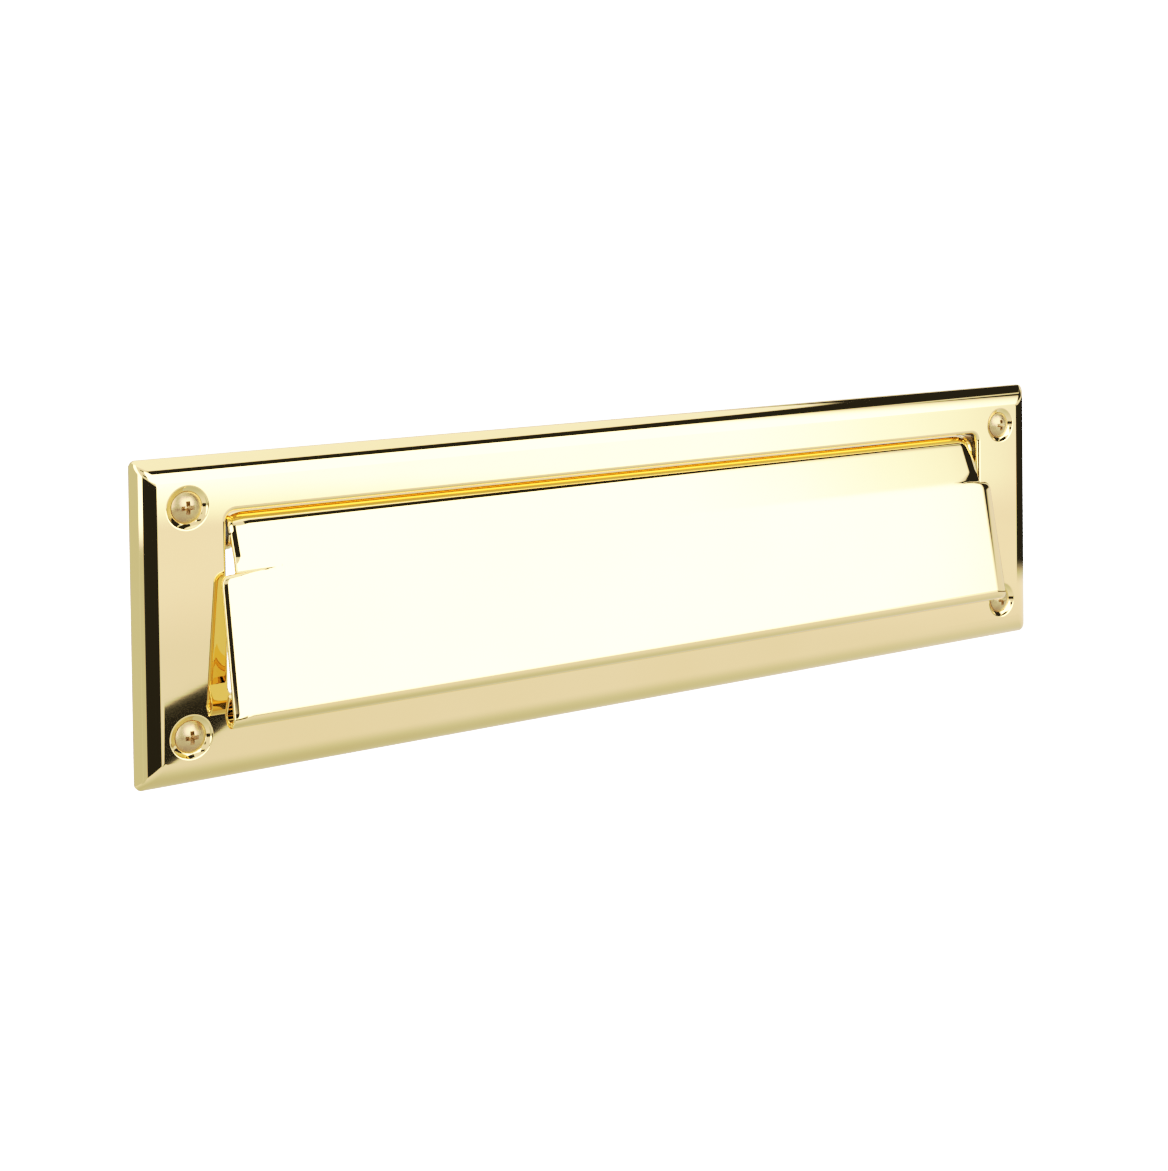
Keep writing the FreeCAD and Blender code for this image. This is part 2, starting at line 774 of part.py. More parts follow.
pieces = make_all()
check(pieces)
write(pieces)
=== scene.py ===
import math

import bmesh
import bpy
from mathutils import Matrix, Vector
from mathutils.geometry import delaunay_2d_cdt


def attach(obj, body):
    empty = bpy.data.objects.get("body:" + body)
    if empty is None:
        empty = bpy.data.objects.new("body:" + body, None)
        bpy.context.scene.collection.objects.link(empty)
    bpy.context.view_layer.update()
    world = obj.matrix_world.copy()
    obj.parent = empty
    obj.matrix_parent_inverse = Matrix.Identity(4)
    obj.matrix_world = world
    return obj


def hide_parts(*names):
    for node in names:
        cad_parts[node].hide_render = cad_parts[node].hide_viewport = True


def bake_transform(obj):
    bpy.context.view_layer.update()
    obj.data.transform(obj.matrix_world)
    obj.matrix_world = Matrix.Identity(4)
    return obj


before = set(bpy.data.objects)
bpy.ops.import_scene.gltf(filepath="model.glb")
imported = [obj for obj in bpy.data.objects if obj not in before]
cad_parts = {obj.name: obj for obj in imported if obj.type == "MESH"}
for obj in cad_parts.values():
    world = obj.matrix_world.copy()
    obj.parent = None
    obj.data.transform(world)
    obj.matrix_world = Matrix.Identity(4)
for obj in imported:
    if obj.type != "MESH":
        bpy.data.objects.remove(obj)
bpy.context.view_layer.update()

# Lengths in this script are in millimetres unless a name says otherwise.  +X is right, +Y is into
# the wall and +Z is up.  "Depth" is how far behind the plate's face a point lies.
MM = 0.001
SIDES = {"left": -1, "right": 1}
HEIGHTS = {"bottom": -1, "top": 1}

PLATE_HALF_X, PLATE_HALF_Z, PLATE_THICK = 165.1, 44.45, 5.0
EDGE_WALL, CUSHION_WIDTH = 1.0, 7.0
HOLLOW_DEPTH, BACK_RIM, LIP_WALL = 2.4, 3.2, 2.2
SLOT_HALF_X, SLOT_LOW, SLOT_HIGH = 139.5, -21.8, 28.9
SLOT_CORNER, SLOT_EDGE_ROUND = 2.8, 1.2
SCREW_X, SCREW_Z = 150.45, 31.05
BOSS_RADIUS, HOLE_RADIUS, SEAT_RADIUS, DISH_RADIUS = 6.2, 2.3, 4.5, 6.0
SEAT_DEPTH, DISH_DEPTH = 2.95, 0.8
FLAT_GUARD, DISH_GUARD = 0.15, 0.2  # flat borders beside the face's edges keep its shading even
BLOCK_POCKET_X, BLOCK_POCKET_LOW, BLOCK_POCKET_HIGH = 149.5, 4.4, 28.0
TOUCH = 0.05  # how close to a surface's place a polygon has to be to belong to it
AXIS_Y, AXIS_Z = 1.6, 22.6


# ------------------------------------------------------------------------------ mesh tools


def link(name, mesh):
    made = bpy.data.objects.new(name, mesh)
    bpy.context.scene.collection.objects.link(made)
    return made


def finish_mesh(name, work, crease=35.0):
    """Turn a bmesh in millimetres into a smooth shaded object in metres with crisp creases."""
    bmesh.ops.remove_doubles(work, verts=work.verts, dist=1e-4)
    bmesh.ops.recalc_face_normals(work, faces=work.faces)
    bmesh.ops.scale(work, vec=(MM, MM, MM), verts=work.verts)
    mesh = bpy.data.meshes.new(name)
    work.to_mesh(mesh)
    work.free()
    for polygon in mesh.polygons:
        polygon.use_smooth = True
    mesh.set_sharp_from_angle(angle=math.radians(crease))
    return link(name, mesh)


def weighted_normals(obj):
    modifier = obj.modifiers.new("even_shading", "WEIGHTED_NORMAL")
    modifier.keep_sharp = True
    modifier.weight = 100


def add_ring(work, points):
    return [work.verts.new(point) for point in points]


def bridge(work, first, second, closed=True):
    """Quads between two rows of vertices of the same length."""
    count = len(first)
    for step in range(count if closed else count - 1):
        following = (step + 1) % count
        work.faces.new((first[step], first[following], second[following], second[step]))


def bridge_all(work, rings, closed=True):
    for first, second in zip(rings, rings[1:]):
        bridge(work, first, second, closed)


def fill_between(work, rings):
    """Flat triangles inside the first ring and outside the others, told apart by X and Z."""
    corners = [vertex for ring in rings for vertex in ring]
    flat = [Vector((vertex.co.x, vertex.co.z)) for vertex in corners]
    edges = []
    for ring in rings:
        start = corners.index(ring[0])
        edges += [(start + step, start + (step + 1) % len(ring)) for step in range(len(ring))]
    triangles, sources = delaunay_2d_cdt(flat, edges, [], 0, 1e-7)[2:4]
    for triangle in triangles:
        points = [sources[index][0] for index in triangle]
        middle = sum((flat[index] for index in points), Vector((0, 0))) / 3
        crossings = 0
        for first, second in edges:
            low, high = flat[first], flat[second]
            if (low.y > middle.y) != (high.y > middle.y):
                share = (middle.y - low.y) / (high.y - low.y)
                crossings += low.x + share * (high.x - low.x) > middle.x
        if crossings % 2:
            work.faces.new([corners[index] for index in points])


def rounded_rectangle(half_x, low, high, radius, y, steps=8):
    """Points round a rectangle in a plane of constant Y, starting at its lower right corner."""
    corners = (
        (half_x - radius, low + radius, -90), (half_x - radius, high - radius, 0),
        (radius - half_x, high - radius, 90), (radius - half_x, low + radius, 180),
    )
    points = []
    for x, z, start in corners:
        for step in range(steps + 1):
            angle = math.radians(start + 90 * step / steps)
            points.append(Vector((x + radius * math.cos(angle), y, z + radius * math.sin(angle))))
    return points


def circle(x, z, radius, y, steps=64):
    turn = 2 * math.pi / steps
    return [
        Vector((x + radius * math.cos(turn * step), y, z + radius * math.sin(turn * step)))
        for step in range(steps)
    ]


def cut_with(obj, cutter):
    """Cut another object out of this one and remove it."""
    modifier = obj.modifiers.new("cut", "BOOLEAN")
    modifier.operation = "DIFFERENCE"
    modifier.solver = "EXACT"
    modifier.object = cutter
    depsgraph = bpy.context.evaluated_depsgraph_get()
    mesh = bpy.data.meshes.new_from_object(obj.evaluated_get(depsgraph))
    obj.modifiers.clear()
    obj.data = mesh
    bpy.data.objects.remove(cutter)
    mesh.set_sharp_from_angle(angle=math.radians(35))


def box_cutter(low, high):
    work = bmesh.new()
    bmesh.ops.create_cube(work, size=1)
    low, high = Vector(low), Vector(high)
    for vertex in work.verts:
        vertex.co = (low + high) / 2 + Vector(a * b for a, b in zip(vertex.co, high - low))
    return finish_mesh("cutter", work)


def turned(work, profile, centre, axis="Y", steps=48):
    """Lathe a list of (radius, position along the axis) pairs; a zero radius closes the form."""
    rings = []
    for radius, along in profile:
        ring = []
        for step in range(steps if radius > 0 else 1):
            angle = 2 * math.pi * step / steps
            across, up = radius * math.cos(angle), radius * math.sin(angle)
            if axis == "Y":
                point = Vector((centre[0] + across, along, centre[2] + up))
            else:
                point = Vector((along, centre[1] + across, centre[2] + up))
            ring.append(work.verts.new(point))
        rings.append(ring)
    for first, second in zip(rings, rings[1:]):
        if len(first) == len(second):
            bridge(work, first, second)
        else:
            tip, ring = (first, second) if len(first) == 1 else (second, first)
            for start, end in zip(ring, ring[1:] + ring[:1]):
                work.faces.new((tip[0], start, end))
    return rings


# ------------------------------------------------------------------------------- materials


class Shading:
    """A node material under construction."""

    def __init__(self, name):
        self.material = bpy.data.materials.new(name)
        self.material.use_nodes = True
        self.tree = self.material.node_tree
        self.tree.nodes.clear()
        self.output = self.add("ShaderNodeOutputMaterial")
        self.shader = self.add("ShaderNodeBsdfPrincipled")
        self.tree.links.new(self.shader.outputs[0], self.output.inputs["Surface"])
        self.coordinates = self.add("ShaderNodeTexCoord").outputs["Object"]

    def add(self, kind, settings=None, **inputs):
        node = self.tree.nodes.new(kind)
        for key, value in (settings or {}).items():
            setattr(node, key, value)
        for key, value in inputs.items():
            self.put(node.inputs[key.replace("_", " ")], value)
        return node

    def put(self, socket, value):
        if isinstance(value, bpy.types.NodeSocket):
            self.tree.links.new(value, socket)
        else:
            socket.default_value = value

    def stretched(self, scale):
        mapping = self.add("ShaderNodeMapping", Vector=self.coordinates, Scale=scale)
        return mapping.outputs[0]

    def noise(self, scale, detail=3.0, stretch=(1, 1, 1), roughness=0.5):
        node = self.add(
            "ShaderNodeTexNoise", Vector=self.stretched(stretch), Scale=scale, Detail=detail,
            Roughness=roughness,
        )
        return node.outputs["Fac"]

    def spread(self, value, low, high, start=0.3, end=0.7):
        """Map a value onto a range of numbers."""
        node = self.add("ShaderNodeMapRange", Value=value)
        for key, number in (("From Min", start), ("From Max", end), ("To Min", low), ("To Max", high)):
            node.inputs[key].default_value = number
        return node.outputs[0]

    def tint(self, value, first, second):
        """A colour between two, by a value."""
        node = self.add("ShaderNodeMix", {"data_type": "RGBA"})
        node.inputs[0].default_value = 0.5
        self.put(node.inputs[0], value)
        node.inputs[6].default_value = (*first, 1)
        node.inputs[7].default_value = (*second, 1)
        return node.outputs[2]

    def bumps(self, *layers):
        """Chain bumps, each a (height value, strength, distance in mm)."""
        normal = None
        for height, strength, distance in layers:
            node = self.add("ShaderNodeBump", Height=height, Strength=strength, Distance=distance * MM)
            if normal is not None:
                self.put(node.inputs["Normal"], normal)
            normal = node.outputs[0]
        return normal

    def set(self, **inputs):
        for key, value in inputs.items():
            self.put(self.shader.inputs[key.replace("_", " ")], value)
        return self.material


def polished_brass():
    make = Shading("polished_brass")
    cloud = make.noise(14, 3)
    smears = make.noise(60, 4, stretch=(0.25, 1, 1))
    hairlines = make.noise(900, 2, stretch=(0.03, 1, 1))
    colour = make.tint(make.spread(cloud, 0, 1), (0.89, 0.65, 0.26), (0.92, 0.69, 0.29))
    shine = make.spread(smears, 0.012, 0.03)
    normal = make.bumps((make.noise(9, 1), 0.08, 0.5), (hairlines, 0.01, 0.02))
    return make.set(
        Metallic=1.0, Base_Color=colour, Roughness=shine, Normal=normal, Coat_Weight=0.04,
        Coat_Roughness=0.03, Coat_IOR=1.5,
    )


def cast_brass():
    make = Shading("cast_brass")
    grain = make.noise(1400, 4)
    patches = make.noise(70, 4)
    colour = make.tint(make.spread(patches, 0, 1), (0.50, 0.34, 0.14), (0.66, 0.48, 0.22))
    normal = make.bumps((grain, 0.35, 0.06), (make.noise(260, 2), 0.25, 0.1))
    return make.set(
        Metallic=1.0, Base_Color=colour, Roughness=make.spread(grain, 0.38, 0.58), Normal=normal
    )


def screw_brass():
    make = Shading("screw_brass")
    patches = make.noise(320, 4)
    lathe = make.noise(3000, 2)
    colour = make.tint(make.spread(patches, 0, 1), (0.45, 0.32, 0.15), (0.53, 0.39, 0.19))
    normal = make.bumps((lathe, 0.1, 0.02), (make.noise(500, 2), 0.12, 0.05))
    return make.set(
        Metallic=1.0, Base_Color=colour, Roughness=make.spread(patches, 0.3, 0.38), Normal=normal
    )


def zinc_steel():
    make = Shading("zinc_steel")
    patches = make.noise(160, 4)
    drawn = make.noise(1200, 2, stretch=(0.04, 1, 1))
    colour = make.tint(make.spread(patches, 0, 1), (0.54, 0.54, 0.52), (0.68, 0.67, 0.64))
    normal = make.bumps((drawn, 0.12, 0.03))
    return make.set(
        Metallic=1.0, Base_Color=colour, Roughness=make.spread(drawn, 0.25, 0.4), Normal=normal
    )


def spring_steel():
    make = Shading("spring_steel")
    patches = make.noise(500, 3)
    colour = make.tint(make.spread(patches, 0, 1), (0.42, 0.42, 0.43), (0.58, 0.58, 0.58))
    normal = make.bumps((make.noise(2500, 2), 0.1, 0.02))
    return make.set(
        Metallic=1.0, Base_Color=colour, Roughness=make.spread(patches, 0.18, 0.32), Normal=normal
    )


def nylon():
    make = Shading("nylon")
    patches = make.noise(240, 3)
    colour = make.tint(make.spread(patches, 0, 1), (0.022, 0.022, 0.022), (0.045, 0.044, 0.042))
    normal = make.bumps((make.noise(2200, 3), 0.12, 0.03))
    return make.set(
        Base_Color=colour, Roughness=make.spread(patches, 0.38, 0.5), Normal=normal,
        Subsurface_Weight=0.15, Subsurface_Scale=0.001,
    )


def rubber():
    make = Shading("rubber")
    patches = make.noise(400, 3)
    colour = make.tint(make.spread(patches, 0, 1), (0.012, 0.012, 0.012), (0.03, 0.029, 0.028))
    normal = make.bumps((make.noise(1800, 4), 0.25, 0.04))
    return make.set(Base_Color=colour, Roughness=make.spread(patches, 0.45, 0.62), Normal=normal)


def floor_finish():
    make = Shading("pale_floor")
    patches = make.noise(3, 3)
    colour = make.tint(make.spread(patches, 0, 1), (0.86, 0.86, 0.85), (0.88, 0.88, 0.87))
    return make.set(
        Base_Color=colour, Roughness=0.7, Normal=make.bumps((make.noise(300, 3), 0.05, 0.1))
    )


BRASS, CAST, SCREW, STEEL = polished_brass(), cast_brass(), screw_brass(), zinc_steel()
WIRE, NYLON, RUBBER = spring_steel(), nylon(), rubber()


def give(obj, *materials):
    obj.data.materials.clear()
    for material in materials:
        obj.data.materials.append(material)


# ----------------------------------------------------------------------------- front plate


def cushion_profile():
    """Inset from the plate's outline and height above its back, from the back edge to the face."""
    rise = PLATE_THICK - EDGE_WALL
    radius = (CUSHION_WIDTH**2 + rise**2) / (2 * rise)
    steepest = math.asin(CUSHION_WIDTH / radius)
    points = [(0.0, 0.0), (0.0, EDGE_WALL - 0.15), (0.03, EDGE_WALL)]
    steps = 24
    for step in range(1, steps + 1):
        angle = steepest * (1 - step / steps)
        points.append(
            (CUSHION_WIDTH - radius * math.sin(angle), PLATE_THICK - radius * (1 - math.cos(angle)))
        )
    return points


def make_plate():
    """Casting with a mitred cushion edge, soft rimmed opening, dished screw seats, hollow back."""
    work = bmesh.new()

    def outline(inset, y, radius):
        high = PLATE_HALF_Z - inset
        return add_ring(work, rounded_rectangle(PLATE_HALF_X - inset, -high, high, radius, y))

    def slot_ring(offset, y):
        return add_ring(work, rounded_rectangle(
            SLOT_HALF_X + offset, SLOT_LOW - offset, SLOT_HIGH + offset, SLOT_CORNER + offset, y
        ))

    edge = [
        outline(inset, -height, 2.0 - 1.2 * inset / CUSHION_WIDTH)
        for inset, height in cushion_profile()
    ]
    edge.append(outline(CUSHION_WIDTH + FLAT_GUARD, -PLATE_THICK, 0.8))
    bridge_all(work, edge)
    rim = [slot_ring(SLOT_EDGE_ROUND + FLAT_GUARD, -PLATE_THICK)]
    for step in range(9):
        angle = math.radians(90 * step / 8)
        rim.append(slot_ring(
            SLOT_EDGE_ROUND * (1 - math.sin(angle)),
            SLOT_EDGE_ROUND * (1 - math.cos(angle)) - PLATE_THICK,
        ))
    lip = [slot_ring(0, 0), slot_ring(LIP_WALL, 0), slot_ring(LIP_WALL, -HOLLOW_DEPTH)]
    bridge_all(work, rim + lip)
    inner = [outline(BACK_RIM, 0, 0.8), outline(BACK_RIM, -HOLLOW_DEPTH, 0.8)]
    bridge_all(work, [edge[0]] + inner)
    front_holes, back_holes = [rim[0]], [lip[-1]]
    for up in HEIGHTS.values():
        for out in SIDES.values():
            x, z = out * SCREW_X, up * SCREW_Z
            seat = [
                (DISH_RADIUS + DISH_GUARD, -PLATE_THICK), (DISH_RADIUS, -PLATE_THICK),
                (DISH_RADIUS - 0.1, 0.03 - PLATE_THICK), (DISH_RADIUS - 0.3, 0.16 - PLATE_THICK),
                (SEAT_RADIUS + 0.6, 0.62 - PLATE_THICK),
                (SEAT_RADIUS + 0.1, DISH_DEPTH - PLATE_THICK),
                (SEAT_RADIUS - 0.2, DISH_DEPTH + 0.2 - PLATE_THICK),
                (HOLE_RADIUS, SEAT_DEPTH - PLATE_THICK), (HOLE_RADIUS, 0), (BOSS_RADIUS, 0),
                (BOSS_RADIUS, -HOLLOW_DEPTH),
            ]
            rings = [add_ring(work, circle(x, z, radius, y)) for radius, y in seat]
            bridge_all(work, rings)
            front_holes.append(rings[0])
            back_holes.append(rings[-1])
    fill_between(work, [edge[-1]] + front_holes)
    fill_between(work, [inner[-1]] + back_holes)
    plate = finish_mesh("plate_casting", work)
    for out in SIDES.values():
        near, far = sorted((out * (SLOT_HALF_X - 1), out * BLOCK_POCKET_X))
        low = (near, 0.01 - HOLLOW_DEPTH, BLOCK_POCKET_LOW)
        cut_with(plate, box_cutter(low, (far, 3, BLOCK_POCKET_HIGH)))
    give(plate, BRASS, CAST)
    cast_slot = 1
    for polygon in plate.data.polygons:
        middle = polygon.center / MM
        from_screw = math.hypot(abs(middle.x) - SCREW_X, abs(middle.z) - SCREW_Z)
        in_seat = from_screw < BOSS_RADIUS - 1
        in_hollow = (
            abs(middle.x) < PLATE_HALF_X - BACK_RIM + TOUCH
            and abs(middle.z) < PLATE_HALF_Z - BACK_RIM + TOUCH
            and middle.y > -HOLLOW_DEPTH - TOUCH
        )
        in_opening = (
            abs(middle.x) < SLOT_HALF_X + TOUCH
            and SLOT_LOW - TOUCH < middle.z < SLOT_HIGH + TOUCH
        )
        if polygon.normal.y > 0.5 or (in_hollow and not in_seat and not in_opening):
            polygon.material_index = cast_slot
    weighted_normals(plate)
    return plate


# ------------------------------------------------------------------------------------ flap

SHEET_HALF = 0.8
ROLL, BEND, HEM = 5.0, 12.0, 2.6
TONGUE, APRON = math.radians(23.0), math.radians(11.3)
ROLL_START, HEM_TURN = math.radians(30.0), math.radians(215.0)
TONGUE_LENGTH, APRON_LENGTH, HEM_RETURN = 12.03, 36.1, 4.4
TONGUE_HALF_X, FLAP_HALF_X, SHOULDER_Z = 138.2, 142.6, 12.4
SHOULDER_ROUND, SHOULDER_INSIDE = 2.7, 0.6
FLAT_HALF_X, FLAT_COLUMNS = 125.0, 26
# The sheet's ends fall back on a wide curve, and on a much wider one close to the shoulders.
END_ROUND, END_DROP, PINCH_ROUND = 13.0, 1.3, 70.0
PINCH_ABOVE, PINCH_BELOW = 3.6, 1.6


class Line:
    """The flap's bent middle line in (Y, Z), addressed by the length along it."""

    def __init__(self):
        self.parts = []
        self.length = 0.0
        axis = Vector((AXIS_Y, AXIS_Z))
        self.arc(axis, ROLL, ROLL_START, math.pi - TONGUE)
        here = self.straight(axis + self.outward(TONGUE) * ROLL, TONGUE, TONGUE_LENGTH)
        centre = here - self.outward(TONGUE) * BEND
        self.arc(centre, BEND, math.pi - TONGUE, math.pi - APRON)
        self.apron_start = self.length
        here = self.straight(centre + self.outward(APRON) * BEND, APRON, APRON_LENGTH)
        self.hem_start = self.length
        centre = here - self.outward(APRON) * HEM
        last = math.pi - APRON + HEM_TURN
        self.arc(centre, HEM, math.pi - APRON, last)
        end = centre + Vector((math.cos(last), math.sin(last))) * HEM
        heading = Vector((-math.sin(last), math.cos(last)))
        normal = Vector((math.cos(last), math.sin(last)))
        self.parts.append((self.length, HEM_RETURN, lambda s: (end + heading * s, normal)))
        self.length += HEM_RETURN

    @staticmethod
    def outward(slope):
        return Vector((-math.cos(slope), math.sin(slope)))

    def arc(self, centre, radius, first, last):
        def place(s):
            angle = first + s / radius
            normal = Vector((math.cos(angle), math.sin(angle)))
            return centre + normal * radius, normal

        reach = radius * (last - first)
        self.parts.append((self.length, reach, place))
        self.length += reach

    def straight(self, start, slope, reach):
        heading = Vector((-math.sin(slope), -math.cos(slope)))
        normal = self.outward(slope)
        self.parts.append((self.length, reach, lambda s: (start + heading * s, normal)))
        self.length += reach
        return start + heading * reach

    def at(self, s):
        for begin, reach, place in self.parts:
            if s <= begin + reach + 1e-9:
                return place(s - begin)
        return self.parts[-1][2](s - self.parts[-1][0])


def flap_rows(line):
    """(length along the line, half width, radius and turn of the ends) of every row of the flap."""
    shoulder = next(
        step / 100 for step in range(int(line.length * 100))
        if line.at(step / 100)[0].y < SHOULDER_Z and step / 100 > line.parts[1][0]
    )
    rows = []
    steps, clear = 150, 0.1
    for step in range(steps + 1):
        s = line.length * step / steps
        if s < shoulder - SHOULDER_INSIDE - clear:
            rows.append((s, TONGUE_HALF_X))
        elif s > shoulder + SHOULDER_ROUND + clear:
            rows.append((s, FLAP_HALF_X))
    for step in range(6):
        angle = math.radians(90 * step / 5)
        rows.append((
            shoulder - SHOULDER_INSIDE * (1 - math.sin(angle)),
            TONGUE_HALF_X + SHOULDER_INSIDE * (1 - math.cos(angle)),
        ))
    for step in range(10):
        angle = math.radians(90 * step / 9)
        rows.append((
            shoulder + 0.02 + SHOULDER_ROUND * (1 - math.cos(angle)),
            FLAP_HALF_X - SHOULDER_ROUND + SHOULDER_ROUND * math.sin(angle),
        ))
    rows.sort()
    finished = []
    for s, half in rows:
        below = s - shoulder + SHOULDER_INSIDE
        pinch = max(0.0, 1.0 - (below / PINCH_BELOW if below > 0 else -below / PINCH_ABOVE))
        radius = END_ROUND + (PINCH_ROUND - END_ROUND) * pinch**2
        drop = END_DROP * min(max(1 - (s - line.hem_start) / (HEM * math.pi / 2), 0), 1)
        finished.append((s, half, radius, math.acos(1 - drop / radius)))
    return finished


def flap_loop(half, radius, turn):
    """(x, offset from the middle line) round one row of the sheet, both ends rounded."""
    reach = radius * turn
    curve_start = half - radius * math.sin(turn)
    curve_reach = max(reach - SHEET_HALF, 0)
    outside = [(curve_reach * step / 6, SHEET_HALF) for step in range(7)]
    nose = []
    for step in range(1, 10):
        angle = math.radians(180 * step / 10)
        nose.append((
            reach - SHEET_HALF + SHEET_HALF * math.sin(angle), SHEET_HALF * math.cos(angle)
        ))
    inside = [(u, -off) for u, off in reversed(outside)]
    right = []
    for u, off in outside + nose + inside:
        if u <= 0 or turn == 0:
            right.append((curve_start + u, off))
        else:
            arm = radius - (SHEET_HALF - off)
            angle = u / radius
            right.append((
                curve_start + arm * math.sin(angle), SHEET_HALF - radius + arm * math.cos(angle)
            ))
    columns = [
        -FLAT_HALF_X + 2 * FLAT_HALF_X * step / FLAT_COLUMNS for step in range(FLAT_COLUMNS + 1)
    ]
    front = [(x, SHEET_HALF) for x in columns]
    behind = [(-x, -SHEET_HALF) for x in columns]
    left = [(-x, off) for x, off in reversed(right)]
    return front + right + behind + left


def make_flap():
    """Bent sheet with rolled hem, stepped shoulders and rounded ends, skinned row by row."""
    line = Line()
    work = bmesh.new()
    rings = []
    for s, half, radius, turn in flap_rows(line):
        middle, normal = line.at(s)
        ring = []
        for x, off in flap_loop(half, radius, turn):
            point = middle + normal * off
            ring.append(work.verts.new((x, point.x, point.y)))
        rings.append(ring)
    bridge_all(work, rings)
    work.faces.new(rings[0])
    work.faces.new(rings[-1])
    flap = finish_mesh("flap_sheet", work, crease=50)
    give(flap, BRASS)
    weighted_normals(flap)
    return flap


EAR_HOLE, EAR_RADIUS, EAR_THICK, EAR_EDGE = 3.0, 5.2, 1.6, 0.3


def make_ear(side, out):
    """Web inside the roll's end that carries the bush."""
    work = bmesh.new()
    outer, inner = out * TONGUE_HALF_X, out * (TONGUE_HALF_X - EAR_THICK)
    step = out * EAR_EDGE
    profile = [
        (EAR_HOLE, inner), (EAR_RADIUS - 1.2, inner), (EAR_RADIUS - 0.2, inner),
        (EAR_RADIUS, inner + step), (EAR_RADIUS, outer - step), (EAR_RADIUS - 0.2, outer),
        (EAR_HOLE + 0.2, outer), (EAR_HOLE, outer - step), (EAR_HOLE, inner),
    ]
    turned(work, profile, (0, AXIS_Y, AXIS_Z), axis="X", steps=48)
    ear = finish_mesh(f"flap_ear_{side}", work)
    give(ear, BRASS)
    return ear


# ------------------------------------------------------------------------------ wall screws

HEAD_RADIUS, HEAD_DOME, NECK_RADIUS, THREAD_RADIUS = 4.3, 1.5, 1.9, 2.1
SCREW_REACH, SCREW_TIP, THREAD_PITCH = 20.0, 5.0, 2.3
THREAD_ROOT, RIDGE_HALF, RUN_IN = 0.68, 0.24, 1.5
RECESS_HALF, RECESS_WIDTH, RECESS_DEPTH = 2.4, 0.6, 1.9


def recess_cutter(x, z, top, upright):
    """One tapered wing of the cross recess, as on a screwdriver's tip."""
    work = bmesh.new()
    bottom = top + RECESS_DEPTH
    rings = []
    for y, half, wide in (
        (top - 1, RECESS_HALF + 0.45, RECESS_WIDTH + 0.08),
        (bottom - 0.6, 1.0, RECESS_WIDTH - 0.1),
        (bottom, 0.3, 0.2),
    ):
        corners = ((half, wide), (-half, wide), (-half, -wide), (half, -wide))
        if upright:
            corners = [(b, -a) for a, b in corners]
        rings.append(add_ring(work, [(x + a, y, z + b) for a, b in corners]))
    bridge_all(work, rings)
    work.faces.new(rings[0])
    work.faces.new(rings[-1])
    return finish_mesh("cutter", work)


def make_wall_screw(tag, out, up):
    """Oval head screw with a cross recess and a cut thread."""
    x, z = out * SCREW_X, up * SCREW_Z
    work = bmesh.new()
    rim = DISH_DEPTH - PLATE_THICK + 0.05
    crown = rim - HEAD_DOME
    bow = (HEAD_RADIUS**2 + HEAD_DOME**2) / (2 * HEAD_DOME)
    profile = [(0.0, crown)]
    dome_steps = 12
    for step in range(1, dome_steps + 1):
        radius = (HEAD_RADIUS - 0.12) * step / dome_steps
        profile.append((radius, crown + bow - math.sqrt(bow**2 - radius**2)))
    profile += [
        (HEAD_RADIUS, rim + 0.02), (HEAD_RADIUS - 0.1, rim + 0.2),
        (NECK_RADIUS + 0.15, SEAT_DEPTH - PLATE_THICK - 0.1),
        (NECK_RADIUS, 0.3 + SEAT_DEPTH - PLATE_THICK),
    ]
    steps = 48
    rings = turned(work, profile, (x, 0, z), steps=steps)
    rows = 150
    last = rings[-1]
    for row in range(rows + 1):
        y = SCREW_REACH * row / rows
        envelope = THREAD_RADIUS * min(1.0, (SCREW_REACH - y) / SCREW_TIP + 0.02)
        root = THREAD_ROOT * envelope
        ring = []
        for step in range(steps):
            angle = 2 * math.pi * step / steps
            phase = (y / THREAD_PITCH - angle / (2 * math.pi)) % 1.0
            ridge = max(0.0, 1 - abs(phase - 0.5) / RIDGE_HALF) * min(1.0, y / RUN_IN)
            radius = root + (envelope - root) * ridge
            if y < RUN_IN:
                radius = max(radius, NECK_RADIUS - (NECK_RADIUS - root) * y / RUN_IN)
            ring.append(work.verts.new((
                x + radius * math.cos(angle), y, z + radius * math.sin(angle)
            )))
        bridge(work, last, ring)
        last = ring
    work.faces.new(last)
    screw = finish_mesh(f"wall_screw_{tag}", work, crease=40)
    for upright in (False, True):
        cut_with(screw, recess_cutter(x, z, crown, upright))
    give(screw, SCREW)
    return screw


# ------------------------------------------------------------------- springs and bumpers


def tube(work, points, radius, steps=12):
    """Round wire along a list of points, closed at both ends."""
    across = Vector((0, 0, 1))
    rings = []
    for index, point in enumerate(points):
        ahead = points[min(index + 1, len(points) - 1)]
        behind = points[max(index - 1, 0)]
        along = (ahead - behind).normalized()
        across = (across - along * across.dot(along)).normalized()
        other = along.cross(across)
        ring = []
        for step in range(steps):
            angle = 2 * math.pi * step / steps
            ring.append(work.verts.new(
                point + (across * math.cos(angle) + other * math.sin(angle)) * radius
            ))
        rings.append(ring)
    bridge_all(work, rings)
    work.faces.new(rings[0])
    work.faces.new(rings[-1])


WIRE_RADIUS, COIL_RADIUS, COIL_TURNS, COIL_PITCH = 0.45, 2.75, 5.0, 1.2
COIL_OUTER_X, COIL_LEAN, LEG_REACH = 134.6, math.radians(17), 6.95


